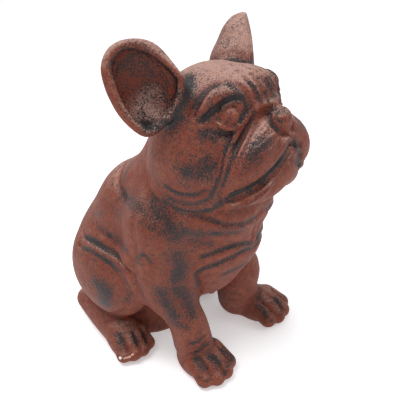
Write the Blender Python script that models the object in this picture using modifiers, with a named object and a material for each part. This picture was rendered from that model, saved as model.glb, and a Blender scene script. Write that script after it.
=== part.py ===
"""A sitting French bulldog, a garden statue cast in one piece. It faces -Y, its right side is at -X,
and it stands on +Z with its four feet and its rump flat on the ground."""
import math

import bmesh
import bpy
import numpy as np
from mathutils import Euler, Matrix, Vector

HEIGHT = 0.380          # soles to ear tips
UNIT = HEIGHT / 380     # the figure's proportions below are in 380ths of its height
VOXEL = 3.2             # grain of the clay while it is being shaped
FACETS = 9400           # triangles left in the finished solid
GROUND = 0.0            # the level that the feet and the rump are cut flat at
MIDDLE_X = 0.0          # middle of the figure's width, which becomes x = 0
MIDDLE_Y = 109.2        # middle of the figure's length, which becomes y = 0

masses = []             # rough shapes that are pressed together, in the order they are pressed on
marks = []              # lines that are cut into them or laid on them

# the ear's hollow faces outwards and forwards; its long axis leans out and back
EAR_MIDDLE = np.array([82.5, 70, 339.5])
EAR_FACING = np.array([0.554, -0.823, 0.125])
EAR_LENGTH = np.array([0.305, 0.341, 0.889])


def ball(at, size, turn=(0, 0, 0), blend=8.0, cut=False, axes=None, side=0):
    """An egg of clay with half-lengths size, pressed on over a seam blend wide, or scooped out.
    Side 0 puts it on both sides alike, 1 or -1 only where it is."""
    if axes is None:
        axes = np.array(Euler([math.radians(v) for v in turn]).to_matrix())
    masses.append(dict(kind="ball", at=np.array(at, float), size=np.array(size, float), axes=axes,
                       blend=blend, cut=cut, side=side))


def roll(points, radius, blend=6.0, smooth=True, side=0):
    """A roll of clay along a curve, with one radius for each of its points."""
    radii = [radius] * len(points) if np.isscalar(radius) else radius
    line = [(*p, r) for p, r in zip(points, radii)]
    masses.append(dict(kind="roll", line=curve_through(line) if smooth else np.array(line, float),
                       blend=blend, cut=False, side=side))


def mark(points, width, depth, side=0):
    """A line drawn with a tool: width is its half-width, and a negative depth raises a ridge."""
    marks.append(dict(kind="mark", line=curve_through(points), width=width, depth=depth, side=side))


def curve_through(points, steps=3):
    """Points on a smooth Catmull-Rom curve that goes through each of the given ones."""
    p = np.array(points, float)
    if len(p) < 3:
        return p
    p = np.vstack([2 * p[0] - p[1], p, 2 * p[-1] - p[-2]])
    t = np.linspace(0, 1, steps, endpoint=False)[:, None]
    found = [0.5 * (2 * b + (c - a) * t + (2 * a - 5 * b + 4 * c - d) * t ** 2
                    + (3 * b - a - 3 * c + d) * t ** 3)
             for a, b, c, d in zip(p, p[1:], p[2:], p[3:])]
    return np.vstack(found + [p[-2:-1]])


def ear():
    across = np.cross(EAR_LENGTH, EAR_FACING)

    def at(u, v, w=0):
        return EAR_MIDDLE + u * across + v * EAR_LENGTH + w * EAR_FACING

    # the cup leans in towards the skull as it goes back
    lean = math.radians(20)
    axes = np.column_stack([math.cos(lean) * across - math.sin(lean) * EAR_FACING, EAR_LENGTH,
                            math.cos(lean) * EAR_FACING + math.sin(lean) * across])
    ball(at(-2, 12), (29, 29, 30), axes=axes)
    ball(at(-2, -10), (31, 27, 42), axes=axes, blend=14)
    ball(at(13, -26), (13, 14, 26), axes=axes)
    ball(at(0, 0, 400), (400, 400, 400), blend=2, cut=True)
    ball(at(-2, 12, 2), (24.5, 25, 22), axes=axes, blend=3, cut=True)
    ball(at(-3, -9, 2), (25.5, 22, 34), axes=axes, blend=3, cut=True)
    rim = [(-32, -9), (-29, 5), (-23, 19), (-17, 29), (-8, 36.5), (1, 39), (10, 37), (18, 30), (22, 20),
           (25, 8), (26, -6), (24, -20), (18, -34), (7, -36), (-7, -32), (-21, -24), (-32, -9)]
    roll([at(u, v, 3 - 0.003 * v * v) for u, v in rim], 4, blend=3)


def body():
    """Trunk, neck and rump, and the creases of loose skin on them."""
    # trunk, from the chest back to the rump
    ball((0, 62, 165), (62, 63.5, 60), blend=18)
    ball((0, 72, 120), (48, 48, 46), blend=20)
    ball((0, 84, 190), (60, 56, 50), blend=24)
    ball((0, 142, 150), (71, 66, 74), (-32, 0, 0), blend=30)
    ball((0, 184, 84), (82, 66, 84), blend=30)
    ball((0, 156, 54), (60, 58, 58), blend=20)
    ball((0, 162, 14), (66, 66, 40), blend=14)
    ball((0, 236, 24), (22, 18, 22), blend=18)
    # neck and the roll of skin round the throat
    roll([(0, 104, 190), (0, 80, 236), (0, 66, 270)], [58, 56, 54], blend=24)
    roll([(0, 30, 207), (22, 31, 207), (42, 50, 210), (52, 84, 222)], [38, 35, 24, 12], blend=8)
    mark([(0, -8, 209), (14, -7, 205), (29, -5, 206), (39, 0, 207), (48, 8, 210), (56, 20, 215),
            (65, 35, 219)], 3, 4)
    mark([(0, -7, 192), (18, -6, 193), (36, 3, 195), (50, 18, 198)], 5, 2.5)
    # creases across the chest, in the armpit and behind the neck
    mark([(10, -6, 200), (5, -1, 184), (5, 0, 172)], 2.2, 2.5)
    mark([(0, -1, 166), (10, 0, 172), (19, 2, 174), (31, 8, 176), (44, 18, 171), (54, 30, 165)], 2.4, 2.5)
    mark([(0, -1, 159), (10, 0, 163), (18, 1, 165), (28, 6, 162), (40, 14, 158), (50, 30, 148),
            (53, 39, 137)], 2.6, 3)
    mark([(2, 4, 141), (20, 8, 140), (31, 17, 135)], 3, 2)
    mark([(51, 37, 131), (45, 39, 116), (39, 42, 101)], 4, 3.5)
    mark([(0, 172, 212), (24, 163, 214), (44, 148, 208), (58, 126, 204)], 6, 2.5)
    # where the trunk meets the shoulder and the upper foreleg
    mark([(90, 90, 199), (92, 87, 183), (92, 85, 165), (90, 92, 140), (84, 88, 112), (76, 82, 88)], 5, 2)
    mark([(94, 86, 153), (92, 75, 169), (88, 68, 158)], 2.2, 1.8)


def hind_leg():
    """Haunch, folded leg and paw."""
    ball((62, 160, 94), (37, 61, 55), (10, 0, 12), blend=14)
    roll([(56, 220, 16), (66, 178, 18), (76, 136, 20)], [16, 20, 22], blend=6)
    paw((78, 124, 0), 15, 50, 36, 36, 0)
    # folds of skin over the thigh, and the creases round the knee
    roll([(68, 182, 143), (71, 158, 147), (72, 135, 144), (81, 106, 148)], [2, 5, 5, 3], blend=5)
    roll([(79, 172, 135), (82, 145, 136), (82, 127, 135), (84, 108, 125), (85, 103, 114)],
         [2, 5, 5, 5, 3], blend=5)
    mark([(72, 194, 144), (78, 182, 142), (81, 166, 145), (83, 142, 145), (84, 121, 143), (89, 99, 138)],
           2.5, 3.5)
    mark([(80, 192, 128), (86, 180, 132), (90, 160, 136), (90, 144, 136), (90, 123, 135), (91, 111, 127),
            (91, 103, 119), (90, 101, 103), (88, 106, 84)], 2.8, 4)
    mark([(85, 196, 118), (90, 172, 127), (92, 148, 129)], 2.5, 1.5)
    mark([(80, 206, 24), (88, 186, 30), (90, 162, 37), (88, 140, 48), (88, 116, 68)], 5, 4)


def fore_legs():
    """Shoulders, forelegs and paws."""
    # the shoulders are alike, but the dog stands with its weight over to its left
    roll([(60, 82, 186), (62, 84, 146), (58, 76, 104)], [31, 29, 25], blend=30)
    roll([(-58, 76, 104), (-55, 57, 80), (-52, 49, 60), (-47, 47, 34)], [25, 22, 22, 23], blend=8, side=-1)
    roll([(58, 76, 104), (50, 50, 85), (51, 51, 60), (62, 56, 24)], [25, 27, 27, 26], blend=8, side=1)
    paw((-46, 35, 0), -10, 56, 52, 36, -1)
    paw((77, 32, 0), 5, 60, 52, 36, 1)


def paw(at, heading, width, length, height, side):
    """A pad with four toes; heading is in degrees towards the dog's left."""
    at = np.array(at, float)
    turn = math.radians(heading)
    ahead = np.array([math.sin(turn), -math.cos(turn), 0])
    aside = np.array([math.cos(turn), math.sin(turn), 0])
    up = np.array([0, 0, 1])
    ball(at + up * height * 0.36, (width * 0.47, length * 0.66, height * 0.6), (0, 0, heading),
         blend=6, side=side)
    for place, reach in ((-0.34, 0.48), (-0.12, 0.62), (0.12, 0.62), (0.34, 0.48)):
        root = at + aside * place * width * 0.9 + ahead * length * (reach - 0.4) + up * height * 0.58
        tip = at + aside * place * width + ahead * length * reach + up * height * 0.3
        roll([root, tip], [width * 0.16, width * 0.17], blend=3, smooth=False, side=side)


def head():
    """Skull, jaw and muzzle, with the folds that hang round them."""
    ball((0, 52, 298), (60, 56, 51), blend=16)
    ball((42, 50, 262), (32, 46, 42), blend=14)
    ball((0, 22, 325), (42, 29, 24), blend=10)
    # jowl along the jaw
    roll([(56, 74, 236), (57, 56, 230), (55, 38, 229), (51, 22, 235)], [10, 12, 12, 10], blend=8)
    # muzzle, lower jaw and the hanging upper lips
    ball((0, 14, 288), (40, 35, 30), blend=10)
    roll([(0, -18, 257), (17, -15, 251), (32, -9, 245), (44, 6, 236)], [18, 17.5, 14, 10], blend=8)
    ball((22, 16, 236), (20, 20, 16), blend=8)
    roll([(9, -8, 296), (20, -10, 287), (32, -9, 278), (41, -2, 268), (47, 6, 255)], [15, 19, 19, 16, 9],
         blend=4)
    roll([(0, -27, 293), (10, -28, 288), (18, -27, 281), (26, -24, 274), (34, -19, 267), (44, -9, 258),
          (49, 0, 250), (51, 5, 243)], 5, blend=5)
    roll([(0, -31, 279), (10, -31, 275), (24, -27, 263), (34, -26, 253), (44, -14, 240), (50, -6, 236),
          (52, 4, 236)], [4, 4, 4, 4, 3.5, 2.5, 2], blend=5)
    mark([(4, -32, 290), (9, -31, 284), (10, -35, 274), (25, -31, 255)], 2.5, 3.5, side=1)
    roll([(14, -12, 294), (26, -16, 280), (33, -16, 268), (34, -14, 262)], [16, 19, 18, 13], blend=4, side=1)
    # the lower lip, a trough between two thin edges
    mark([(0, -33, 281), (13, -34, 275), (26, -30, 264), (36, -24, 255), (44, -16, 248), (50, -5, 241),
            (54, 1, 239)], 2.2, 2.5)
    # the fold over the nose and down behind the lips
    roll([(0, -10, 320), (9, -6, 321), (15, -3, 320), (20, -2, 319), (27, 1, 315), (32, 3, 308),
          (38, 4, 299), (43, 6, 291), (49, 6, 281), (54, 5, 271), (55, 9, 257), (54, 13, 244),
          (50, 12, 235)], 5, blend=3)
    mark([(0, -20, 317), (7, -13, 319), (13, -9, 318), (21, -7, 314), (27, -5, 309), (35, -3, 301),
            (42, -3, 293), (50, -3, 284), (57, -3, 274), (59, 1, 262), (58, 6, 248), (56, 5, 239)], 2.4, 3.5)
    mark([(22, -8, 309), (33, -8, 301), (43, -9, 293), (51, -8, 284), (56, -8, 274), (57, -4, 259),
            (56, -1, 248)], 2.2, 1.8)
    mark([(24, -1, 326), (31, 2, 318), (37, 5, 310), (43, 6, 301), (49, 7, 291), (55, 7, 281),
            (58, 6, 271), (61, 8, 256), (61, 11, 244)], 2.2, 2.5)
    # folds on the cheek
    roll([(60, 50, 233), (60, 36, 235), (59, 26, 239), (57, 18, 246), (57, 17, 256), (55, 18, 268),
          (52, 17, 279), (45, 14, 290)], 5, blend=4)
    mark([(74, 57, 243), (73, 48, 240), (71, 36, 241), (67, 26, 244), (65, 19, 249), (64, 14, 256),
            (63, 13, 266)], 2.6, 2.5)
    mark([(72, 63, 233), (71, 47, 231), (69, 33, 231), (66, 23, 234), (62, 15, 240)], 2.4, 2)
    # nose, nostril, and the seam between the lips
    ball((0, -15, 307), (13.5, 11, 12.5), (-14, 0, 0), blend=2)
    mark([(0, -26, 297), (0, -30, 293), (0, -32, 288)], 2, 3)


def eye():
    """Brow, eyeball and lids, and the wrinkles between the brows."""
    # brow, a thick crescent over the eye, then the eyeball and its two thin lids
    roll([(49, 32, 318), (43, 28, 325), (37, 22, 330), (32, 17, 332), (29, 10, 331), (28, 6, 326)],
         [4, 6.5, 8, 8.5, 7.5, 5], blend=6)
    ball((35, 12, 314), (10, 10, 10), blend=2)
    roll([(50, 26, 310), (46, 20, 313), (45, 13, 318), (41, 9, 323), (35, 5, 325), (30, 3, 322),
          (28, 1, 315)], [1, 2, 2, 2, 2, 2, 1.5], blend=3)
    roll([(50, 26, 309), (46, 19, 310), (43, 12, 306), (38, 7, 304), (34, 4, 305), (30, 2, 309)],
         [1, 2, 2, 2, 2, 1.5], blend=3)
    mark([(54, 31, 310), (49, 26, 316), (45, 20, 323), (41, 14, 329), (35, 8, 331), (30, 4, 329),
            (27, 0, 322), (27, -1, 315)], 2.4, 3)
    mark([(53, 40, 315), (51, 37, 324), (46, 35, 331), (39, 32, 338), (34, 25, 342), (31, 16, 343),
            (28, 8, 340), (26, 2, 334), (24, -2, 326), (24, -3, 318)], 3.2, 3.5)
    mark([(52, 24, 303), (45, 15, 300), (41, 8, 301), (38, 4, 305)], 2.5, 1.5)
    # wrinkles between the brows
    mark([(18, 10, 346), (19, 1, 339), (19, -3, 330), (18, -5, 322)], 2.5, 3)
    mark([(9, 8, 347), (10, 0, 341), (10, -5, 332), (9, -7, 324)], 2.5, 3)
    mark([(0, 14, 349), (0, 3, 344), (0, -4, 336), (0, -9, 325)], 2.5, 3)


def curve_distance(p, line):
    """Distance from each point to a line of points, less the line's own radius where it has one."""
    best = np.full(len(p), 1e9)
    for a, b in zip(line, line[1:]):
        along = b[:3] - a[:3]
        q = p - a[:3]
        t = np.clip(q @ (along / max(along @ along, 1e-9)), 0, 1)
        q -= t[:, None] * along
        d = np.sqrt(np.einsum("ij,ij->i", q, q))
        if len(a) == 4:
            d -= a[3] + t * (b[3] - a[3])
        np.minimum(best, d, out=best)
    return best


def ball_distance(p, m):
    """Distance from each point to the skin of an egg, near enough."""
    q = ((p - m["at"]) @ m["axes"]) / m["size"]
    k0 = np.sqrt(np.einsum("ij,ij->i", q, q))
    q /= m["size"]
    return k0 * (k0 - 1) / np.maximum(np.sqrt(np.einsum("ij,ij->i", q, q)), 1e-6)


def reach_of(m):
    """The box round a mass or a mark, out to where its effect ends."""
    if m["kind"] == "ball":
        half = np.abs(m["axes"]) @ m["size"]
        low, high = m["at"] - half, m["at"] + half
        margin = m["blend"] + 6
    else:
        line = m["line"]
        thick = line[:, 3:].max() if m["kind"] == "roll" else 0
        low, high = line[:, :3].min(0) - thick, line[:, :3].max(0) + thick
        margin = m["blend"] + 6 if m["kind"] == "roll" else 2.6 * m["width"]
    return low - margin, high + margin


def form(points):
    """How far each point is outside the finished form, exact only near its skin. Where lines cross,
    the deepest holds."""
    folded = np.column_stack([np.abs(points[:, 0]), points[:, 1:]])
    field = np.full(len(points), 20.0)
    groove, ridge = np.zeros(len(points)), np.zeros(len(points))
    for m in masses + marks:
        p = points if m["side"] else folded
        low, high = reach_of(m)
        near = np.flatnonzero(np.all((p > low) & (p < high), axis=1))
        q = p[near]
        d = ball_distance(q, m) if m["kind"] == "ball" else curve_distance(q, m["line"])
        if m["kind"] == "mark":
            drawn = groove if m["depth"] > 0 else ridge
            drawn[near] = np.maximum(drawn[near], abs(m["depth"]) * np.exp(-(d / m["width"]) ** 2))
            continue
        old = field[near]
        k = m["blend"]
        if m["cut"]:
            d = -d
        seam = np.maximum(k - np.abs(old - d), 0) ** 2 / (4 * k)
        field[near] = np.maximum(old, d) + seam if m["cut"] else np.minimum(old, d) - seam
    return np.maximum(field + groove - ridge, GROUND - points[:, 2])


def primitive(bm, m):
    """Adds the plain spheres that a mass is made of, on each side that it is on."""
    for side in (1,) if m["side"] else (1, -1):
        flip = Matrix.Diagonal((side, 1, 1, 1))
        if m["kind"] == "ball":
            turn = Matrix(m["axes"].tolist()).to_4x4()
            shape = flip @ Matrix.Translation(m["at"]) @ turn @ Matrix.Diagonal((*m["size"], 1))
            bmesh.ops.create_icosphere(bm, subdivisions=4, radius=1.01, matrix=shape)
        else:
            for x, y, z, r in m["line"]:
                bmesh.ops.create_icosphere(bm, subdivisions=2, radius=r * 1.03,
                                           matrix=flip @ Matrix.Translation((x, y, z)))
    bmesh.ops.recalc_face_normals(bm, faces=bm.faces[:])


def rough_block():
    """Every mass as plain spheres, pressed together or cut away in turn."""
    block = bpy.data.objects.new("bulldog", bpy.data.meshes.new("bulldog"))
    cutter = bpy.data.objects.new("cutter", bpy.data.meshes.new("cutter"))
    for obj in (block, cutter):
        bpy.context.scene.collection.objects.link(obj)
    for m in masses:
        bm = bmesh.new()
        if m["cut"] and m["size"].max() > 20:
            primitive(bm, m)
            bm.to_mesh(cutter.data)
            remesh(block, VOXEL)
            scoop = block.modifiers.new("Scoop", "BOOLEAN")
            scoop.operation = "DIFFERENCE"
            scoop.object = cutter
            apply_modifiers(block)
        elif not m["cut"]:
            bm.from_mesh(block.data)
            primitive(bm, m)
            bm.to_mesh(block.data)
        bm.free()
    bpy.data.objects.remove(cutter)
    return block


def apply_modifiers(obj):
    graph = bpy.context.evaluated_depsgraph_get()
    finished = bpy.data.meshes.new_from_object(obj.evaluated_get(graph))
    obj.modifiers.clear()
    obj.data = finished


def remesh(obj, grain):
    """Fuses the overlapping shapes of obj into one skin of even quads."""
    modifier = obj.modifiers.new("Remesh", "REMESH")
    modifier.mode = "VOXEL"
    modifier.voxel_size = grain
    apply_modifiers(obj)


def pull_to_form(obj, rounds):
    """Moves each vertex of obj straight towards the finished form until it lies on it."""
    mesh = obj.data
    co = np.empty(len(mesh.vertices) * 3, np.float32)
    mesh.vertices.foreach_get("co", co)
    co = co.reshape(-1, 3).astype(float)
    step = 0.4
    moving = np.arange(len(co))
    for _ in range(rounds):
        p = co[moving]
        away = form(p)
        moving, p, away = (v[np.abs(away) > 0.05] for v in (moving, p, away))
        slope = np.column_stack([form(p + step * axis) - away for axis in np.eye(3)]) / step
        size = np.maximum((slope ** 2).sum(1), 0.25)
        co[moving] = p - slope * (np.clip(away, -3, 3) / size)[:, None]
    mesh.vertices.foreach_set("co", co.astype(np.float32).ravel())
    mesh.update()


def even_out(obj, share):
    """Moves each vertex of obj part of the way to the middle of its neighbours."""
    mesh = obj.data
    co = np.empty(len(mesh.vertices) * 3, np.float32)
    mesh.vertices.foreach_get("co", co)
    co = co.reshape(-1, 3).astype(float)
    ends = np.empty(len(mesh.edges) * 2, np.int32)
    mesh.edges.foreach_get("vertices", ends)
    a, b = ends.reshape(-1, 2).T
    count = np.bincount(ends, minlength=len(co))
    middle = np.column_stack([np.bincount(a, co[b, i], len(co)) + np.bincount(b, co[a, i], len(co))
                              for i in range(3)]) / count[:, None]
    co += share * (middle - co)
    mesh.vertices.foreach_set("co", co.astype(np.float32).ravel())
    mesh.update()


def clay():
    material = bpy.data.materials.new("cast_clay")
    material.use_nodes = True
    shader = material.node_tree.nodes["Principled BSDF"]
    shader.inputs["Base Color"].default_value = (0.27, 0.085, 0.055, 1)
    shader.inputs["Roughness"].default_value = 0.6
    shader.inputs["Metallic"].default_value = 0
    return material


def thin_out(obj, facets):
    """Keeps the most telling facets of obj, with its underside flat."""
    corners = sum(len(face.vertices) - 2 for face in obj.data.polygons)
    fewer = obj.modifiers.new("Decimate", "DECIMATE")
    fewer.ratio = facets / corners
    apply_modifiers(obj)
    for vertex in obj.data.vertices:
        if vertex.co.z < GROUND + 0.3:
            vertex.co.z = GROUND


def model():
    for old in list(bpy.data.objects):
        bpy.data.objects.remove(old)
    ear()
    body()
    hind_leg()
    fore_legs()
    head()
    eye()
    statue = rough_block()
    remesh(statue, VOXEL)
    pull_to_form(statue, 6)
    even_out(statue, 0.5)
    pull_to_form(statue, 3)
    remesh(statue, VOXEL * 0.8)
    pull_to_form(statue, 2)
    even_out(statue, 0.5)
    pull_to_form(statue, 3)
    return statue


def finish(statue):
    thin_out(statue, FACETS)
    statue.data.transform(Matrix.Scale(UNIT, 4) @ Matrix.Translation((-MIDDLE_X, -MIDDLE_Y, -GROUND)))
    statue.data.materials.append(clay())
    statue.data.shade_smooth()
    statue.data.set_sharp_from_angle(angle=math.radians(50))


if __name__ == "__main__":
    finish(model())
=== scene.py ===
import math

import bmesh
import bpy
import numpy as np
from mathutils import Euler, Matrix, Vector


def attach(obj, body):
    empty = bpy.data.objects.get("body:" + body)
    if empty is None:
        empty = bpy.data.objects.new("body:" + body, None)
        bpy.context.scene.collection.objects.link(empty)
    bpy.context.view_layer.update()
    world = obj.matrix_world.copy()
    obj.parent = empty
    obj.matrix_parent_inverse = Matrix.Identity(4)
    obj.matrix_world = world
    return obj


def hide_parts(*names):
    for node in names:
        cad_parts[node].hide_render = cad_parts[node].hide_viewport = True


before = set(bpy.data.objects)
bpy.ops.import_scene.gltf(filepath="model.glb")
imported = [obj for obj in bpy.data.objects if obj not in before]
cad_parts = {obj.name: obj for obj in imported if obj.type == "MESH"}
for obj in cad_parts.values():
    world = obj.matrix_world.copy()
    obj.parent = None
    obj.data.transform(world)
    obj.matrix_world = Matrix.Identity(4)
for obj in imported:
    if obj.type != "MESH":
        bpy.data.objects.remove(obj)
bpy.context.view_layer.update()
print("frame loaded")

# The statue is shaped in millimetres with the forepaws' tips at y = 0, the dog's left at +x. Anything
# given a side is only there; the rest is on both sides alike.
statue = {
    "roughGrain": 3.2,     # mm, the first skin, that the form is drawn on
    "grain": 2.6,          # mm, the even skin, halved over the face and toes
    "middleY": 109.2,      # mm, the point that the model's origin is under
}

shapes = []       # lumps that are pressed together, in the order they are pressed on
strokes = []      # tool marks: grooves, or ridges where the depth is negative
stains = []       # where black wax and dust stay, painted shade and highlight in the ear bowls, and the chips


def alongCurve(points, steps=4):
    # a smooth curve through the points
    p = np.array(points, float)
    if len(p) < 3:
        return p
    p = np.vstack([2 * p[0] - p[1], p, 2 * p[-1] - p[-2]])
    t = np.linspace(0, 1, steps, endpoint=False)[:, None]
    found = [0.5 * (2 * b + (c - a) * t + (2 * a - 5 * b + 4 * c - d) * t ** 2
                    + (3 * b - a - 3 * c + d) * t ** 3)
             for a, b, c, d in zip(p, p[1:], p[2:], p[3:])]
    return np.vstack(found + [p[-2:-1]])


def lump(at, size, turn=(0, 0, 0), blend=8.0, scoop=False, axes=None, side=0):
    # an egg with half-lengths size, pressed on over a seam blend wide, or scooped out
    if axes is None:
        axes = np.array(Euler([math.radians(v) for v in turn]).to_matrix())
    at, size = np.array(at, float), np.array(size, float)
    half = np.abs(axes) @ size + blend + 6
    shapes.append({"kind": "lump", "at": at, "size": size, "axes": axes, "blend": blend,
                   "scoop": scoop, "side": side, "low": at - half, "high": at + half})


def coil(points, radius, blend=6.0, straight=False, side=0):
    # a rolled coil of clay along a curve, with a radius for each point
    radii = [radius] * len(points) if np.isscalar(radius) else radius
    line = [(*p, r) for p, r in zip(points, radii)]
    line = np.array(line, float) if straight else alongCurve(line)
    reach = line[:, 3].max() + blend + 6
    shapes.append({"kind": "coil", "line": line, "blend": blend, "scoop": False, "side": side,
                   "low": line[:, :3].min(0) - reach, "high": line[:, :3].max(0) + reach})


def stroke(points, width, depth, side=0):
    # a groove with half-width width, or a ridge where the depth is negative
    line = alongCurve(points)
    reach = 2.6 * width
    strokes.append({"kind": "stroke", "line": line, "width": width, "depth": depth, "side": side,
                    "low": line.min(0) - reach, "high": line.max(0) + reach})


def stain(points, width, strength, side=0, kind="wax"):
    # a touch of black wax, of pale dust that also stands for painted highlight, or a chip, along a curve or
    # round one point
    stains.append({"kind": kind, "line": alongCurve(points), "width": width, "strength": strength,
                   "side": side})


def foldedOver(points):
    # the dog's right side laid over its left
    return np.column_stack([np.abs(points[:, 0]), points[:, 1:]])


def within(points, low, high):
    return np.flatnonzero(np.all((points > low) & (points < high), axis=1))


def curveDistance(p, line):
    # how far each point is from a line, or outside a coil
    best = np.full(len(p), 1e9)
    if len(line) == 1:
        return np.linalg.norm(p - line[0], axis=1)
    for a, b in zip(line, line[1:]):
        along = b[:3] - a[:3]
        q = p - a[:3]
        t = np.clip(q @ (along / max(along @ along, 1e-9)), 0, 1)
        q -= t[:, None] * along
        d = np.sqrt(np.einsum("ij,ij->i", q, q))
        if len(a) == 4:
            d -= a[3] + t * (b[3] - a[3])
        np.minimum(best, d, out=best)
    return best


def lumpDistance(p, s):
    # how far each point is outside a lump, nearly
    q = ((p - s["at"]) @ s["axes"]) / s["size"]
    k0 = np.sqrt(np.einsum("ij,ij->i", q, q))
    q /= s["size"]
    return k0 * (k0 - 1) / np.maximum(np.sqrt(np.einsum("ij,ij->i", q, q)), 1e-6)


def outsideBy(points):
    # how far each point is outside the finished skin, exact only near it
    folded = foldedOver(points)
    field = np.full(len(points), 20.0)
    groove, ridge = np.zeros(len(points)), np.zeros(len(points))
    for s in shapes + strokes:
        p = points if s["side"] else folded
        near = within(p, s["low"], s["high"])
        if not len(near):
            continue
        q = p[near]
        d = lumpDistance(q, s) if s["kind"] == "lump" else curveDistance(q, s["line"])
        if s["kind"] == "stroke":
            drawn = groove if s["depth"] > 0 else ridge
            drawn[near] = np.maximum(drawn[near], abs(s["depth"]) * np.exp(-(d / s["width"]) ** 2))
            continue
        old = field[near]
        k = s["blend"]
        if s["scoop"]:
            d = -d
        seam = np.maximum(k - np.abs(old - d), 0) ** 2 / (4 * k)
        field[near] = np.maximum(old, d) + seam if s["scoop"] else np.minimum(old, d) - seam
    return np.maximum(field + groove - ridge, -points[:, 2])


# the middle of the left ear's mouth and its axes, the lean of the cup in degrees, and the rim in mm
# across and along; the right ear is its mirror image
ears = {
    "middle": np.array((82.5, 70, 339.5)),
    "facing": np.array((0.554, -0.823, 0.125)),
    "length": np.array((0.305, 0.341, 0.889)),
    "lean": 20,
    "rim": [(-32, -9), (-29, 5), (-23, 19), (-17, 29), (-8, 36.5), (1, 39), (10, 37), (18, 30), (22, 20),
            (25, 8), (26, -6), (24, -20), (18, -34), (7, -36), (-7, -32), (-21, -24), (-32, -9)],
}
ears["across"] = np.cross(ears["length"], ears["facing"])


def onEar(u, v, w=0.0):
    # a place on the ear: across, along, and out of its mouth
    return ears["middle"] + u * ears["across"] + v * ears["length"] + w * ears["facing"]


def shapeEars():
    across, length, facing = ears["across"], ears["length"], ears["facing"]
    # the cup leans in towards the skull as it goes back
    lean = math.radians(ears["lean"])
    axes = np.column_stack([math.cos(lean) * across - math.sin(lean) * facing, length,
                            math.cos(lean) * facing + math.sin(lean) * across])
    lump(onEar(-2, 12), (29, 29, 30), axes=axes)
    lump(onEar(-3, -9), (29, 26, 34), axes=axes, blend=14)
    lump(onEar(11, -25), (12, 13, 19), axes=axes)
    # the left ear is fuller behind
    lump(onEar(-2, -10), (31, 27, 42), axes=axes, blend=14, side=1)
    lump(onEar(-5, 30, -6), (11, 9, 9), axes=axes, side=1)
    # a flat cut across the mouth, then the bowl and the rolled rim
    lump(onEar(0, 0, 400), (400, 400, 400), blend=2, scoop=True)
    lump(onEar(-3, 7, 2), (25.5, 29.5, 15), axes=axes, blend=3, scoop=True)
    lump(onEar(-3, -9, 2), (25, 24, 17), axes=axes, blend=8, scoop=True)
    thick = [3, 3, 3.2, 3.6, 4, 4.4, 4.6, 4.8, 4.8, 4.6, 4.4, 4.2, 4, 3.8, 3.4, 3, 3]
    coil([onEar(u, v, 3 - 0.003 * v * v) for u, v in ears["rim"]], thick, blend=3)


def shapeBody():
    # trunk, from the chest back to the rump
    lump((0, 62, 165), (62, 63.5, 60), blend=18)
    lump((0, 72, 120), (48, 48, 46), blend=20)
    lump((0, 84, 190), (60, 56, 50), blend=24)
    lump((0, 142, 150), (71, 66, 74), (-32, 0, 0), blend=30)
    lump((0, 184, 84), (82, 66, 84), blend=30)
    lump((0, 156, 54), (60, 58, 58), blend=20)
    lump((0, 162, 14), (66, 66, 40), blend=14)
    lump((0, 236, 24), (22, 18, 22), blend=18)
    # neck and the roll of skin round the throat
    coil([(0, 104, 190), (0, 80, 236), (0, 66, 270)], [58, 56, 54], blend=24)
    coil([(0, 30, 207), (22, 31, 207), (42, 50, 210), (52, 84, 222)], [38, 35, 24, 12], blend=8)
    stroke([(0, -8, 209), (14, -7, 205), (29, -5, 206), (39, 0, 207), (48, 8, 210), (56, 20, 215),
            (65, 35, 219)], 3, 4)
    stroke([(0, -7, 192), (18, -6, 193), (36, 3, 195), (50, 18, 198)], 5, 2.5)
    # creases across the chest, in the armpit and behind the neck
    stroke([(10, -6, 200), (5, -1, 184), (5, 0, 172)], 2.2, 2.5)
    stroke([(0, -1, 166), (10, 0, 172), (19, 2, 174), (31, 8, 176), (44, 18, 171), (54, 30, 165)], 2.4, 2.5)
    stroke([(0, -1, 159), (10, 0, 163), (18, 1, 165), (28, 6, 162), (40, 14, 158), (50, 30, 148),
            (53, 39, 137)], 2.6, 3)
    stroke([(2, 4, 141), (20, 8, 140), (31, 17, 135)], 3, 2)
    stroke([(51, 37, 131), (45, 39, 116), (39, 42, 101)], 4, 3.5)
    stroke([(0, 172, 212), (24, 163, 214), (44, 148, 208), (58, 126, 204)], 6, 2.5)
    # where the trunk meets the shoulder and the upper foreleg
    stroke([(90, 90, 199), (92, 87, 183), (92, 85, 165), (90, 92, 140), (84, 88, 112), (76, 82, 88)], 5, 2)
    stroke([(94, 86, 153), (92, 75, 169), (88, 68, 158)], 2.2, 1.8)


def shapeHindLegs():
    lump((62, 160, 94), (37, 61, 55), (10, 0, 12), blend=14)
    coil([(56, 220, 16), (66, 178, 18), (76, 136, 20)], [16, 20, 22], blend=6)
    paw((78, 124, 0), 15, 50, 36, 36, 0)
    # folds of skin over the thigh, and the creases round the knee
    coil([(68, 182, 143), (71, 158, 147), (72, 135, 144), (81, 106, 148)], [2, 5, 5, 3], blend=5)
    coil([(79, 172, 135), (82, 145, 136), (82, 127, 135), (84, 108, 125), (85, 103, 114)],
         [2, 5, 5, 5, 3], blend=5)
    stroke([(72, 194, 144), (78, 182, 142), (81, 166, 145), (83, 142, 145), (84, 121, 143), (89, 99, 138)],
           2.5, 3.5)
    stroke([(80, 192, 128), (86, 180, 132), (90, 160, 136), (90, 144, 136), (90, 123, 135), (91, 111, 127),
            (91, 103, 119), (90, 101, 103), (88, 106, 84)], 2.8, 4)
    stroke([(85, 196, 118), (90, 172, 127), (92, 148, 129)], 2.5, 1.5)
    stroke([(80, 206, 24), (88, 186, 30), (90, 162, 37), (88, 140, 48), (88, 116, 68)], 5, 4)


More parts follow.
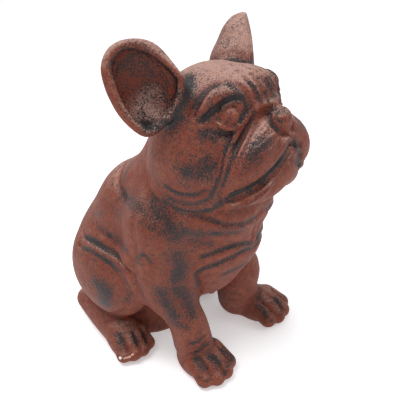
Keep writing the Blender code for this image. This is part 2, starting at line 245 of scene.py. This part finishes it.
def shapeForeLegs():
    # the shoulders are alike, but the dog stands with its weight over to its left
    coil([(60, 82, 186), (62, 84, 146), (58, 76, 104)], [31, 29, 25], blend=30)
    coil([(-58, 76, 104), (-55, 57, 80), (-52, 49, 60), (-47, 47, 34)], [25, 22, 22, 23], blend=8, side=-1)
    coil([(58, 76, 104), (50, 50, 85), (51, 51, 60), (62, 56, 24)], [25, 27, 27, 26], blend=8, side=1)
    paw((-46, 35, 0), -10, 56, 52, 36, -1)
    paw((77, 32, 0), 5, 60, 52, 36, 1)
    # wrinkles over the right wrist
    for lower in (0, 8, 16):
        z = 51 - lower
        stroke([(-71, 38, z), (-60, 29, z + 3), (-48, 25, z + 6)], 1.5, 2.4, side=-1)
        stroke([(-71, 38, z - 4), (-60, 28.5, z - 1), (-48, 24.5, z + 2)], 1.4, -1.4, side=-1)


def paw(at, heading, width, length, height, side):
    # a pad with four toes; heading turns it to the dog's left
    at = np.array(at, float)
    turn = math.radians(heading)
    ahead = np.array([math.sin(turn), -math.cos(turn), 0])
    aside = np.array([math.cos(turn), math.sin(turn), 0])
    up = np.array([0, 0, 1])
    lump(at + up * height * 0.36, (width * 0.47, length * 0.66, height * 0.6), (0, 0, heading),
         blend=6, side=side)
    for place, reach in ((-0.34, 0.48), (-0.12, 0.62), (0.12, 0.62), (0.34, 0.48)):
        root = at + aside * place * width * 0.9 + ahead * length * (reach - 0.4) + up * height * 0.58
        tip = at + aside * place * width + ahead * length * reach + up * height * 0.3
        coil([root, tip], [width * 0.16, width * 0.175], blend=5, straight=True, side=side)
    for place, reach in ((-0.25, 0.62), (0, 0.72), (0.25, 0.62)):
        between = at + aside * place * width
        stroke([between + ahead * length * (reach - 0.36) + up * height * 0.8,
                between + ahead * length * (reach - 0.2) + up * height * 0.72,
                between + ahead * length * reach + up * height * 0.42,
                between + ahead * length * reach + up * 2], 1.7, 2.3, side)


def shapeHead():
    lump((0, 52, 298), (60, 56, 51), blend=16)
    lump((42, 50, 262), (32, 46, 42), blend=14)
    lump((0, 22, 325), (42, 29, 24), blend=10)
    # jowl along the jaw
    coil([(56, 74, 236), (57, 56, 230), (55, 38, 229), (51, 22, 235)], [10, 12, 12, 10], blend=8)
    # muzzle, lower jaw and the hanging upper lips
    lump((0, 14, 288), (40, 35, 30), blend=10)
    coil([(0, -18, 257), (17, -15, 251), (32, -9, 245), (44, 6, 236)], [18, 17.5, 14, 10], blend=8)
    lump((22, 16, 236), (20, 20, 16), blend=8)
    coil([(9, -8, 296), (20, -10, 287), (32, -9, 278), (41, -2, 268), (47, 6, 255)], [15, 19, 19, 16, 9],
         blend=4)
    coil([(0, -27, 293), (10, -28, 288), (18, -27, 281), (26, -24, 274), (34, -19, 267), (44, -9, 258),
          (49, 0, 250), (51, 5, 243)], 5, blend=5)
    coil([(0, -31, 279), (10, -31, 275), (24, -27, 263), (34, -26, 253), (44, -14, 240), (50, -6, 236),
          (52, 4, 236)], [4, 4, 4, 4, 3.5, 2.5, 2], blend=5)
    stroke([(4, -32, 290), (9, -31, 284), (10, -35, 274), (25, -31, 255)], 2.5, 3.5, side=1)
    coil([(14, -12, 294), (26, -16, 280), (33, -16, 268), (34, -14, 262)], [16, 19, 18, 13], blend=4, side=1)
    # the lower lip, a trough between two thin edges
    stroke([(0, -31, 287), (6, -33, 289), (15, -33, 283), (22, -30, 275), (33, -26, 267), (39, -20, 260),
            (47, -13, 254), (52, -5, 249), (54, 1, 242)], 1.8, 3)
    stroke([(0, -31, 284), (13, -31, 278), (25, -28, 269), (33, -23, 260), (42, -16, 254), (47, -9, 248),
            (52, -2, 243)], 1.4, -1.2)
    stroke([(0, -33, 281), (13, -34, 275), (26, -30, 264), (36, -24, 255), (44, -16, 248), (50, -5, 241),
            (54, 1, 239)], 2.2, 2.5)
    stroke([(0, -35, 279), (11, -35, 274), (24, -31, 262), (35, -30, 252), (46, -20, 240), (53, -11, 235)],
           1.5, -1)
    # the fold over the nose and down behind the lips
    coil([(0, -10, 320), (9, -6, 321), (15, -3, 320), (20, -2, 319), (27, 1, 315), (32, 3, 308),
          (38, 4, 299), (43, 6, 291), (49, 6, 281), (54, 5, 271), (55, 9, 257), (54, 13, 244),
          (50, 12, 235)], 5, blend=3)
    stroke([(0, -20, 317), (7, -13, 319), (13, -9, 318), (21, -7, 314), (27, -5, 309), (35, -3, 301),
            (42, -3, 293), (50, -3, 284), (57, -3, 274), (59, 1, 262), (58, 6, 248), (56, 5, 239)], 1.9, 4)
    stroke([(22, -8, 309), (33, -8, 301), (43, -9, 293), (51, -8, 284), (56, -8, 274), (57, -4, 259),
            (56, -1, 248)], 1.8, 2)
    stroke([(24, -1, 326), (31, 2, 318), (37, 5, 310), (43, 6, 301), (49, 7, 291), (55, 7, 281),
            (58, 6, 271), (61, 8, 256), (61, 11, 244)], 1.9, 3)
    # folds on the cheek
    coil([(60, 50, 233), (60, 36, 235), (59, 26, 239), (57, 18, 246), (57, 17, 256), (55, 18, 268),
          (52, 17, 279), (45, 14, 290)], 5, blend=4)
    stroke([(74, 57, 243), (73, 48, 240), (71, 36, 241), (67, 26, 244), (65, 19, 249), (64, 14, 256),
            (63, 13, 266)], 2.6, 2.5)
    stroke([(72, 63, 233), (71, 47, 231), (69, 33, 231), (66, 23, 234), (62, 15, 240)], 2.4, 2)
    # nose, nostril, and the seam between the lips
    lump((0, -18, 307), (13, 11.5, 13), (-14, 0, 0), blend=4)
    stroke([(8, -14, 319), (12, -15, 315), (14.5, -18, 309), (14.5, -21, 304), (11, -25, 300),
            (5, -28, 296), (0, -29, 294)], 1.7, 2.4)
    stroke([(9, -20, 317), (12, -20, 314), (12.5, -22, 311), (10, -25, 309), (7, -27, 310)], 1.6, 3)
    stroke([(14, -20, 306.5), (11, -25, 305.5), (6, -28, 306)], 1.1, 1.6)
    # ridges where the whiskers grow
    stroke([(16, -13, 308), (24, -13, 306), (31, -12, 302)], 1.1, -0.8)
    stroke([(19, -18, 306), (26, -17, 304), (33, -15, 300)], 1.2, -1)
    stroke([(19, -24, 301), (28, -23, 299), (36, -21, 295), (41, -19, 292)], 1.2, -1.1)
    stroke([(15, -27, 296), (23, -28, 293), (33, -27, 290), (39, -24, 288)], 1.1, -1)
    stroke([(0, -26, 297), (0, -30, 293), (0, -32, 288)], 2, 3)


def shapeEyes():
    # brow, a thick crescent over the eye, then the eyeball and its two thin lids
    coil([(49, 32, 318), (43, 28, 325), (37, 22, 330), (32, 17, 332), (29, 10, 331), (28, 6, 326)],
         [4, 6.5, 8, 8.5, 7.5, 5], blend=6)
    lump((38, 10, 315.3), (12, 12, 12), blend=2, scoop=True)
    lump((33.6, 12.9, 313.4), (11.8, 11.8, 11.8), blend=1)
    coil([(50, 28, 311), (44, 22, 314), (45, 18, 319), (43, 15, 323), (39, 12, 325), (36, 9, 325.5),
          (34, 5, 324), (33, 2, 321), (31, 0, 315)], [1, 1.7, 2, 2, 2, 2, 2, 1.8, 1.5], blend=1)
    coil([(50, 28, 310), (45, 21, 309.5), (46, 16, 308), (45, 11, 306), (43, 8, 305), (41, 4.5, 305),
          (37.5, 1.5, 307.5), (33, 0, 311)], [1, 1.7, 2, 2, 2, 2, 1.8, 1.5], blend=1)
    # thin edges on the lids, the line between them and the ball, and the creases round the eye
    stroke([(43, 25, 311.5), (45.4, 20.4, 316.4), (45.1, 17.5, 320.5), (42.9, 14.9, 324.1),
            (39.8, 11.9, 326.2), (36.7, 8.8, 326.7), (34.7, 4.9, 325.2), (34.1, 1, 321.4),
            (33, -1.1, 316.1)], 1.3, -1.3)
    stroke([(43.5, 24.9, 310.3), (45.3, 20.3, 310), (46.9, 16, 309.1), (46.2, 11.1, 306.9),
            (44.2, 7.2, 305.6), (41.5, 3.7, 305.8), (38.6, 0.5, 308.2)], 1.3, -1.1)
    stroke([(43.7, 20, 312.8), (44.2, 17, 318.1), (42.5, 14.1, 321.9), (39.4, 11, 324.1), (36.5, 7.8, 324.2),
            (35.1, 4.5, 322.3), (34.3, 1.8, 318.6), (34.1, 0.6, 314.2), (36.2, 1.2, 310.6),
            (39.2, 3.2, 308.3), (42.9, 7.1, 307.8), (45, 12, 309), (45.2, 16.2, 310.8), (43.7, 20, 312.8)],
           1, 1.8)
    stroke([(54, 31, 310), (49, 26, 316), (45, 20, 323), (41, 14, 329), (35, 8, 331), (30, 4, 329),
            (27, 0, 322), (27, -1, 315)], 2.4, 3)
    stroke([(53, 40, 315), (51, 37, 324), (46, 35, 331), (39, 32, 338), (34, 25, 342), (31, 16, 343),
            (28, 8, 340), (26, 2, 334), (24, -2, 326), (24, -3, 318)], 3.2, 3.5)
    stroke([(52, 24, 303), (45, 15, 300), (41, 8, 301), (38, 4, 305)], 2.5, 1.5)
    # wrinkles between the brows
    stroke([(18, 10, 346), (19, 1, 339), (19, -3, 330), (18, -3, 329)], 2.3, 3)
    stroke([(9, 8, 347), (10, 0, 341), (10, -5, 332), (9, -5, 331)], 2.3, 3)
    stroke([(0, 14, 349), (0, 3, 344), (0, -4, 336), (0, -7, 332)], 2.3, 3)
    stroke([(14, 10, 348), (15, 0, 341), (15, -5, 331)], 1.5, -1)
    stroke([(4, 12, 349), (5, 0, 343), (5, -6, 332)], 1.5, -1)


def rubWax():
    # the head and the ears
    stain([onEar(0.88 * u, 0.9 * v, 2) for u, v in ears["rim"]], 2.4, 1.1)
    # painted shade in the upper part of each ear's bowl, and a painted highlight on its lower part
    stain([onEar(-5, 16, -11), onEar(-6, 2, -13)], 9, 0.35)
    stain([onEar(6, -22, -6), onEar(2, -12, -12), onEar(-8, -10, -12)], 12, 0.62, kind="dustAndPaintedLight")
    stain([(33, 61, 341), (55, 46, 332), (64, 48, 317), (67, 57, 304)], 6, 1)
    stain([(84, 68, 310), (80, 60, 306), (71, 54, 308)], 6, 1)
    stain([(71, 86, 359), (59, 83, 347), (50, 80, 331)], 16, 0.5)
    stain([(92, 79, 374), (83, 71, 375), (74, 62, 366)], 5, 0.5)
    stain([(52, 42, 327), (54, 34, 318), (54, 31, 310)], 6, 0.45)
    stain([(53, 36, 321), (47, 37, 328), (40, 34, 335), (36, 27, 339)], 4, 0.8)
    stain([(33, 19, 342), (33, 10, 340), (33, 3, 334), (29, -1, 326)], 3.5, 0.95)
    stain([(50, 29, 326), (45, 22, 333), (40, 14, 335)], 5, 0.35)
    stain([(53, 29, 312), (48, 24, 318), (44, 17, 324), (40, 12, 330), (36, 6, 332)], 4, 1)
    stain([(56, 27, 300), (51, 18, 298), (43, 11, 299)], 6, 0.7)
    stain([(59, 27, 295), (54, 18, 292)], 6, 0.4)
    stain([(72, 34, 267), (68, 25, 268), (62, 17, 276)], 9, 0.75)
    stain([(73, 40, 254), (70, 29, 253)], 5, 0.4)
    stain([(47, -17, 286), (40, -21, 292), (30, -24, 296)], 8, 0.7)
    stain([(51, -16, 279), (45, -22, 281)], 6, 0.5)
    stain([(9, -15, 316), (4, -19, 318), (1, -24, 314)], 4, 0.5)
    stain([(10, -13, 315), (13, -17, 308), (12, -23, 302)], 2.5, 0.8)
    stain([(4, -22, 319), (9, -20, 317), (12, -20, 313), (11, -24, 309)], 2.4, 0.7)
    stain([(44, 18, 318), (42.5, 14.1, 321.9), (39.4, 11, 324.1), (36.5, 7.8, 324.2), (35.1, 4.5, 322.3),
           (34.3, 1.8, 318.6), (34.1, 0.6, 314.2)], 0.8, 0.7)
    stain([(9, 2, 341), (17, -3, 333), (19, -6, 324)], 4, 0.6, side=1)
    # beside the wrinkles, folds and lips
    stain([(17, 5, 341), (16, -3, 334), (15, -6, 325)], 2, 0.9)
    stain([(5, 3, 343), (4, -4, 335), (8, -9, 325)], 2, 0.9)
    stain([(6, 0, 340), (9, -5, 332), (2, -11, 325)], 2.5, 0.9, side=1)
    stain([(26, -2, 323), (32, 1, 317), (37, 3, 310), (43, 5, 301), (49, 6, 291), (54, 6, 282),
           (59, 5, 272), (60, 9, 256), (61, 15, 242)], 2.2, 1)
    stain([(22, -6, 317), (26, -3, 310), (35, -2, 302), (42, 0, 293), (51, -1, 284), (56, -1, 273),
           (57, 4, 256)], 1.8, 0.9)
    stain([(6, -33, 290), (11, -31, 281), (21, -30, 273), (32, -26, 265), (37, -19, 258),
           (45, -13, 253), (51, -5, 248), (54, 1, 241)], 2.4, 1)
    stain([(6, -35, 280), (15, -34, 272), (22, -31, 261), (36, -29, 253), (45, -18, 239),
           (51, -10, 235)], 1.6, 0.7)
    stain([(5, -30, 285), (12, -32, 281), (16, -33, 269), (28, -30, 254)], 2.2, 0.9, side=1)
    stain([(70, 60, 244), (70, 49, 241), (68, 37, 241), (66, 26, 244), (64, 19, 249)], 2.2, 0.9)
    stain([(70, 60, 234), (70, 48, 231), (67, 34, 232), (64, 24, 235), (61, 16, 242),
           (60, 11, 253)], 2, 0.8)
    stain([(70, 62, 227), (69, 51, 224), (67, 39, 222), (63, 27, 223), (57, 17, 227),
           (55, 7, 236)], 3.2, 0.9)
    # the neck, shoulders and chest
    stain([(62, 85, 272), (67, 80, 258), (68, 72, 244)], 3, 0.35)
    stain([(26, 147, 231), (42, 144, 220), (54, 140, 207)], 3, 0.6)
    stain([(57, 135, 205), (78, 94, 214), (81, 72, 211)], 7, 0.6)
    stain([(87, 78, 205), (83, 61, 200), (75, 50, 191)], 7, 0.6)
    stain([(76, 74, 218), (75, 57, 210), (71, 46, 193)], 8, 0.7)
    stain([(68, 43, 200), (59, 28, 196), (49, 11, 199), (33, -2, 199)], 7, 0.6)
    stain([(63, 40, 187), (49, 23, 182)], 6, 0.45)
    stain([(6, -1, 167), (19, 2, 173), (31, 8, 174), (44, 17, 171), (53, 29, 165)], 2.2, 0.9)
    stain([(5, -1, 161), (18, 1, 164), (28, 6, 161), (39, 14, 156), (50, 30, 146),
           (52, 39, 135)], 2.2, 0.9)
    stain([(1, 4, 140), (18, 9, 137), (29, 18, 132)], 3, 0.7)
    stain([(12, -7, 204), (29, -5, 205), (39, 0, 206), (48, 8, 209), (56, 20, 214),
           (65, 35, 219)], 2.2, 0.8)
    stain([(50, 39, 130), (44, 40, 114)], 2.5, 0.7)
    stain([(62, 173, 171), (63, 150, 185), (67, 131, 188)], 9, 0.3)
    # the forelegs
    stain([(72, 48, 168), (67, 47, 154), (69, 51, 137)], 8, 0.8)
    stain([(93, 85, 157), (91, 75, 170), (88, 67, 162)], 2.5, 0.7)
    stain([(82, 63, 121), (79, 58, 105), (76, 51, 90)], 8, 0.75)
    stain([(68, 51, 120), (61, 45, 105), (60, 38, 89)], 8, 0.8)
    stain([(77, 53, 80), (71, 40, 77)], 6, 0.6)
    stain([(67, 33, 52), (55, 26, 56)], 1.8, 0.9)
    stain([(64, 31, 39), (53, 25, 44), (26, 32, 29)], 1.8, 0.9)
    stain([(65, 29, 30), (66, 18, 24)], 5, 0.7)
    stain([(53, 18, 31), (53, 7, 25)], 5, 0.8)
    stain([(33, 12, 24), (31, 2, 19)], 4.5, 0.8)
    stain([(54, -3, 16), (44, -1, 20)], 2.5, 0.8)
    stain([(76, 20, 17), (74, 8, 17)], 2.5, 0.5)
    stain([(59, 16, 27), (53, 5, 20)], 3.5, 0.8, side=1)
    stain([(83, 8, 28), (77, -5, 19)], 3.5, 0.8, side=1)
    stain([(102, 6, 20)], 3, 0.8, side=1)
    stain([(33, 26, 78), (44, 24, 63)], 5, 0.3, side=1)
    # the haunches and hind paws
    stain([(99, 143, 104), (99, 131, 98), (99, 137, 80)], 9, 0.9)
    stain([(94, 170, 119), (93, 147, 127), (90, 127, 123)], 7, 0.3)
    stain([(90, 115, 128), (92, 104, 118), (89, 109, 91)], 3, 0.5)
    stain([(78, 181, 142), (80, 166, 144), (82, 143, 143), (84, 120, 143)], 3, 1)
    stain([(85, 181, 131), (88, 161, 135), (89, 145, 134), (87, 128, 131), (92, 111, 127)], 2.8, 0.8)
    stain([(70, 163, 157), (72, 142, 156), (88, 107, 160)], 5, 0.5)
    stain([(94, 124, 31), (98, 115, 23)], 4.5, 0.8)
    stain([(81, 114, 33), (82, 104, 24)], 3.5, 0.8)
    stain([(70, 106, 26), (75, 98, 18)], 3, 0.7)
    stain([(84, 133, 40), (79, 122, 37)], 5, 0.4)


def addChips():
    stain([(-107, 110, 14), (-105, 109, 15)], 1.1, 1, side=-1, kind="chip")
    stain([(-90, 195, 97)], 0.8, 1, side=-1, kind="chip")
    stain([(-104, 106, 14), (-99, 103, 14), (-95, 100, 17)], 1.1, 0.8, side=-1, kind="scrape")


def addSpheres(bm, s):
    # a lump, or a coil as a row of balls, a little large so that they overlap
    for side in (1,) if s["side"] else (1, -1):
        flip = Matrix.Diagonal((side, 1, 1, 1))
        if s["kind"] == "lump":
            turn = Matrix(s["axes"].tolist()).to_4x4()
            place = flip @ Matrix.Translation(s["at"]) @ turn @ Matrix.Diagonal((*s["size"], 1))
            bmesh.ops.create_icosphere(bm, subdivisions=4, radius=1.01, matrix=place)
        else:
            for x, y, z, r in s["line"]:
                bmesh.ops.create_icosphere(bm, subdivisions=2, radius=r * 1.03,
                                           matrix=flip @ Matrix.Translation((x, y, z)))
    bmesh.ops.recalc_face_normals(bm, faces=bm.faces[:])


def applyModifiers(obj):
    finished = bpy.data.meshes.new_from_object(obj.evaluated_get(bpy.context.evaluated_depsgraph_get()))
    obj.modifiers.clear()
    obj.data = finished


def fuse(obj, grain):
    skin = obj.modifiers.new("Skin", "REMESH")
    skin.mode = "VOXEL"
    skin.voxel_size = grain
    applyModifiers(obj)


def pressTogether(grain):
    # every lump and coil as plain spheres, fused or scooped in turn
    block = bpy.data.objects.new("bulldogSkin", bpy.data.meshes.new("bulldogSkin"))
    cutter = bpy.data.objects.new("cutter", bpy.data.meshes.new("cutter"))
    for obj in (block, cutter):
        bpy.context.scene.collection.objects.link(obj)
    for s in shapes:
        bm = bmesh.new()
        if s["scoop"] and s["size"].max() > 20:
            addSpheres(bm, s)
            bm.to_mesh(cutter.data)
            fuse(block, grain * 1.5)
            scoop = block.modifiers.new("Scoop", "BOOLEAN")
            scoop.operation = "DIFFERENCE"
            scoop.object = cutter
            applyModifiers(block)
        elif not s["scoop"]:
            bm.from_mesh(block.data)
            addSpheres(bm, s)
            bm.to_mesh(block.data)
        bm.free()
    bpy.data.objects.remove(cutter)
    return block


def vertexPlaces(mesh):
    co = np.empty(len(mesh.vertices) * 3, np.float32)
    mesh.vertices.foreach_get("co", co)
    return co.reshape(-1, 3).astype(float)


def drawOnto(obj, rounds):
    # moves each vertex straight onto the finished skin, by no more than 3 mm a round
    co = vertexPlaces(obj.data)
    step, closeEnough, furthest = 0.3, 0.04, 3
    moving = np.arange(len(co))
    for _ in range(rounds):
        p = co[moving]
        away = outsideBy(p)
        still = np.abs(away) > closeEnough
        moving, p, away = moving[still], p[still], away[still]
        slope = np.column_stack([outsideBy(p + step * axis) - away for axis in np.eye(3)]) / step
        size = np.maximum((slope ** 2).sum(1), 0.25)
        co[moving] = p - slope * (np.clip(away, -furthest, furthest) / size)[:, None]
    obj.data.vertices.foreach_set("co", co.astype(np.float32).ravel())
    obj.data.update()


def smoothed(mesh, co, share, rounds=1):
    # each place moved part of the way to the middle of its neighbours
    ends = np.empty(len(mesh.edges) * 2, np.int32)
    mesh.edges.foreach_get("vertices", ends)
    a, b = ends.reshape(-1, 2).T
    count = np.bincount(ends, minlength=len(co))
    for _ in range(rounds):
        middle = np.column_stack([np.bincount(a, co[b, i], len(co)) + np.bincount(b, co[a, i], len(co))
                                  for i in range(3)]) / count[:, None]
        co = co + share * (middle - co)
    return co


def evenOut(obj, share):
    co = smoothed(obj.data, vertexPlaces(obj.data), share)
    obj.data.vertices.foreach_set("co", co.astype(np.float32).ravel())


def refine(obj, wanted):
    # halves the mesh of the parts with the finest carving
    bm = bmesh.new()
    bm.from_mesh(obj.data)
    edges = {e for f in bm.faces if wanted(f.calc_center_median()) for e in f.edges}
    bmesh.ops.subdivide_edges(bm, edges=list(edges), cuts=1, use_grid_fill=True)
    bm.to_mesh(obj.data)
    bm.free()


def faceAndToes(p):
    return (p.z > 222 and p.y < 34 and p.z < 352) or (p.z < 40 and p.y < 22 and p.z > 1)


def markSurface(obj):
    # what the paint follows: how hollow each place is, in the small and at large, and the stains
    mesh = obj.data
    co = vertexPlaces(mesh)
    normals = np.empty(len(co) * 3, np.float32)
    mesh.vertex_normals.foreach_get("vector", normals)
    normals = normals.reshape(-1, 3)
    near = smoothed(mesh, co, 0.8, paint["smallRounds"])
    far = smoothed(mesh, near, 0.8, paint["largeRounds"])
    marks = {"groove": np.einsum("ij,ij->i", near - co, normals) / paint["smallDepth"],
             "hollow": np.einsum("ij,ij->i", far - co, normals) / paint["largeDepth"]}
    folded = foldedOver(co)
    for kind in ("wax", "dustAndPaintedLight", "chip", "scrape"):
        amount = np.zeros(len(co))
        for s in (s for s in stains if s["kind"] == kind):
            p = co if s["side"] else folded
            reach = 5 * s["width"]
            close = within(p, s["line"].min(0) - reach, s["line"].max(0) + reach)
            d = curveDistance(p[close], s["line"]) / s["width"]
            # dense in the middle, with a wide thin edge
            full = s["strength"] * (0.6 * np.exp(-d ** 2) + 0.4 * np.exp(-(d / 2.5) ** 2))
            amount[close] = np.maximum(amount[close], full)
        marks[kind] = amount
    for name, values in marks.items():
        layer = mesh.attributes.new(name, "FLOAT", "POINT")
        layer.data.foreach_set("value", np.clip(values, -1, 1).astype(np.float32))


def makeStatue():
    shapeEars()
    shapeBody()
    shapeHindLegs()
    shapeForeLegs()
    shapeHead()
    shapeEyes()
    print(len(shapes), "lumps and coils,", len(strokes), "strokes")
    piece = pressTogether(statue["roughGrain"])
    fuse(piece, statue["roughGrain"])
    drawOnto(piece, 6)
    print("rough form drawn")
    evenOut(piece, 0.5)
    drawOnto(piece, 3)
    fuse(piece, statue["grain"])
    drawOnto(piece, 2)
    evenOut(piece, 0.5)
    drawOnto(piece, 2)
    refine(piece, faceAndToes)
    drawOnto(piece, 2)
    evenOut(piece, 0.4)
    drawOnto(piece, 2)
    piece.data.calc_loop_triangles()
    print("skin of", len(piece.data.vertices), "vertices,", len(piece.data.loop_triangles), "triangles")
    return piece


paint = {
    "smallRounds": 5, "smallDepth": 0.5,     # rounds of smoothing, and mm of depth that count as full
    "largeRounds": 60, "largeDepth": 3.0,
    # the pale pink is dust, and also a painted highlight on the skin that faces up
    "clay": "#703222", "clayPale": "#82442F", "clayDeep": "#74301A", "dustAndPaintedLight": "#B08C80",
    "wax": "#231E20", "chip": "#E8E2DA", "scrape": "#C99C8C",
    "speckle": 1.3,      # mm, the grains of wax left after rubbing
    "grime": 7,          # mm, thin wax left all over
    "blotch": 10,        # mm, uneven rubbing
    "pitting": 1.6,      # mm, the sandy skin of the cast; the real grain is half that, too fine to show
}

piece = makeStatue()
rubWax()
addChips()
markSurface(piece)
print(len(stains), "stains rubbed in")
piece.data.transform(Matrix.Scale(0.001, 4) @ Matrix.Translation((0, -statue["middleY"], 0)))
piece.data.shade_smooth()
piece.name = "bulldogSkin"


def toLinear(hexColour):
    channels = [int(hexColour[i:i + 2], 16) / 255 for i in (1, 3, 5)]
    return [c / 12.92 if c <= 0.04045 else ((c + 0.055) / 1.055) ** 2.4 for c in channels] + [1]


def addNode(tree, kind, links=None, values=None, **settings):
    node = tree.nodes.new(kind)
    for name, value in settings.items():
        setattr(node, name, value)
    for socket, value in (values or {}).items():
        node.inputs[socket].default_value = value
    for socket, source in (links or {}).items():
        tree.links.new(source, node.inputs[socket])
    return node


def rubbedCastClay():
    # cast clay and resin with black wax rubbed off the high places: a matt brick red with a sandy
    # skin, redder where the rag doesn't reach, paler on top with dust and a painted highlight, the black
    # left in folds as fine grains
    material = bpy.data.materials.new("rubbedCastClay")
    material.use_nodes = True
    tree = material.node_tree
    shader = tree.nodes["Principled BSDF"]
    shader.inputs["Specular IOR Level"].default_value = 0.3
    place = addNode(tree, "ShaderNodeTexCoord").outputs["Object"]

    def mark(name):
        return addNode(tree, "ShaderNodeAttribute", attribute_name=name).outputs["Fac"]

    def grains(size, detail=2.0, rough=0.5):
        # noise with grains of a size in mm, round 0.5
        return addNode(tree, "ShaderNodeTexNoise", {"Vector": place},
                       {"Scale": 1000 / size, "Detail": detail, "Roughness": rough}).outputs["Fac"]

    def sums(a, b, by=1.0):
        # a plus b times by
        return addNode(tree, "ShaderNodeMath", {0: b, 2: a}, {1: by}, operation="MULTIPLY_ADD").outputs[0]

    def spread(value, low, high, least=0.0, most=1.0):
        # a soft step between low and high
        return addNode(tree, "ShaderNodeMapRange", {"Value": value},
                       {"From Min": low, "From Max": high, "To Min": least, "To Max": most},
                       interpolation_type="SMOOTHSTEP").outputs["Result"]

    def over(under, colour, amount):
        return addNode(tree, "ShaderNodeMix", {0: amount, 6: under}, {7: toLinear(colour)},
                       data_type="RGBA").outputs[2]

    groove, hollow = mark("groove"), mark("hollow")
    blotch, fine = grains(paint["blotch"], 6, 0.65), grains(paint["pitting"])
    facing = addNode(tree, "ShaderNodeSeparateXYZ",
                     {0: addNode(tree, "ShaderNodeNewGeometry").outputs["Normal"]}).outputs["Z"]

    # uneven brick red, deeper in the hollows
    ground = addNode(tree, "ShaderNodeMix", {0: spread(blotch, 0.35, 0.65)},
                     {6: toLinear(paint["clay"]), 7: toLinear(paint["clayPale"])},
                     data_type="RGBA").outputs[2]
    ground = over(ground, paint["clayDeep"], spread(sums(hollow, groove, 0.5), 0.15, 1.2, 0, 0.8))
    # pale dust and a painted highlight where the skin faces up, with painted shade lower down, so it is
    # paler on the head than on the paws
    high = addNode(tree, "ShaderNodeSeparateXYZ", {0: place}).outputs["Z"]
    dustAndPaintedLightAmount = sums(sums(sums(facing, sums(hollow, groove), -0.12), blotch, 0.5), mark("dustAndPaintedLight"), 1.6)
    dustAndPaintedLightAmount = sums(sums(dustAndPaintedLightAmount, fine, 0.7), high, 1)
    ground = over(ground, paint["dustAndPaintedLight"], spread(dustAndPaintedLightAmount, 1.38, 2.05, 0, 0.85))

    # a thin film of wax all over, in patches of fine grains
    speckle = grains(paint["speckle"], 3)
    grime = sums(grains(paint["grime"], 6, 0.75), speckle, 0.5)
    ground = over(ground, paint["wax"], spread(grime, 0.72, 0.98, 0, 0.7))

    # the rubbed wax: grains come to about 0.7 and patches to 0.4, full wax adds 0.55 and a groove 0.1
    specks = sums(sums(speckle, speckle, 0.4), mark("wax"), 0.55)
    waxed = spread(sums(sums(specks, blotch, 0.8), groove, 0.1), 1.13, 1.53)
    ground = over(ground, paint["wax"], waxed)
    ground = over(ground, paint["scrape"], spread(sums(mark("scrape"), fine, 0.5), 0.6, 0.8))
    ground = over(ground, paint["chip"], spread(mark("chip"), 0.3, 0.5))
    tree.links.new(ground, shader.inputs["Base Color"])
    tree.links.new(spread(waxed, 0, 1, 0.62, 0.45), shader.inputs["Roughness"])

    skin = sums(fine, grains(paint["blotch"] * 0.5, 3), 1.2)
    bump = addNode(tree, "ShaderNodeBump", {"Height": skin}, {"Strength": 0.8, "Distance": 0.0009})
    tree.links.new(bump.outputs["Normal"], shader.inputs["Normal"])
    return material


piece.data.materials.append(rubbedCastClay())
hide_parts("bulldog")
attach(piece, "root")

studio = {
    "floorSize": 30,                       # m
    "floor": "#F4F4F6", "floorGlow": 0.32, # a sweep that glows, as white as the photograph's ground
    "sky": 0.7,
    "top": 30, "front": 3,                 # W
}

bpy.ops.mesh.primitive_plane_add(size=studio["floorSize"])
floor = bpy.context.object
floor.name = "studioFloor"
floorPaint = bpy.data.materials.new("paleFloor")
floorPaint.use_nodes = True
floorShader = floorPaint.node_tree.nodes["Principled BSDF"]
for socket, value in (("Base Color", toLinear(studio["floor"])), ("Roughness", 0.7),
                      ("Emission Color", (1, 1, 1, 1)), ("Emission Strength", studio["floorGlow"])):
    floorShader.inputs[socket].default_value = value
floor.data.materials.append(floorPaint)

world = bpy.data.worlds.new("studio")
bpy.context.scene.world = world
world.use_nodes = True
sky = world.node_tree.nodes["Background"]
sky.inputs["Color"].default_value = (1, 1, 1, 1)
sky.inputs["Strength"].default_value = studio["sky"]


def softbox(name, place, size, power):
    # a square light aimed at the middle of the statue
    light = bpy.data.lights.new(name, "AREA")
    light.size = size
    light.energy = power
    obj = bpy.data.objects.new(name, light)
    obj.location = place
    obj.rotation_euler = (Vector(place) - Vector((0, 0, 0.18))).to_track_quat("Z", "Y").to_euler()
    bpy.context.scene.collection.objects.link(obj)


softbox("topSoftbox", (-0.5, 0.3, 2.1), 1.2, studio["top"])
softbox("frontSoftbox", (0.7, -1.2, 0.9), 0.7, studio["front"])

camera = {"place": (-0.381, -0.3242, 0.460), "azimuth": -53, "elevation": 29.2, "lens": 44.1}
lens = bpy.data.cameras.new("camera")
lens.lens = camera["lens"]
lens.sensor_width = 36
lens.clip_start = 0.01
eye = bpy.data.objects.new("camera", lens)
eye.location = camera["place"]
a, e = math.radians(camera["azimuth"]), math.radians(camera["elevation"])
back = Vector((math.sin(a) * math.cos(e), -math.cos(a) * math.cos(e), math.sin(e)))
eye.rotation_euler = back.to_track_quat("Z", "Y").to_euler()
bpy.context.scene.collection.objects.link(eye)
bpy.context.scene.camera = eye
bpy.context.scene.view_settings.view_transform = "Standard"
print("studio ready")
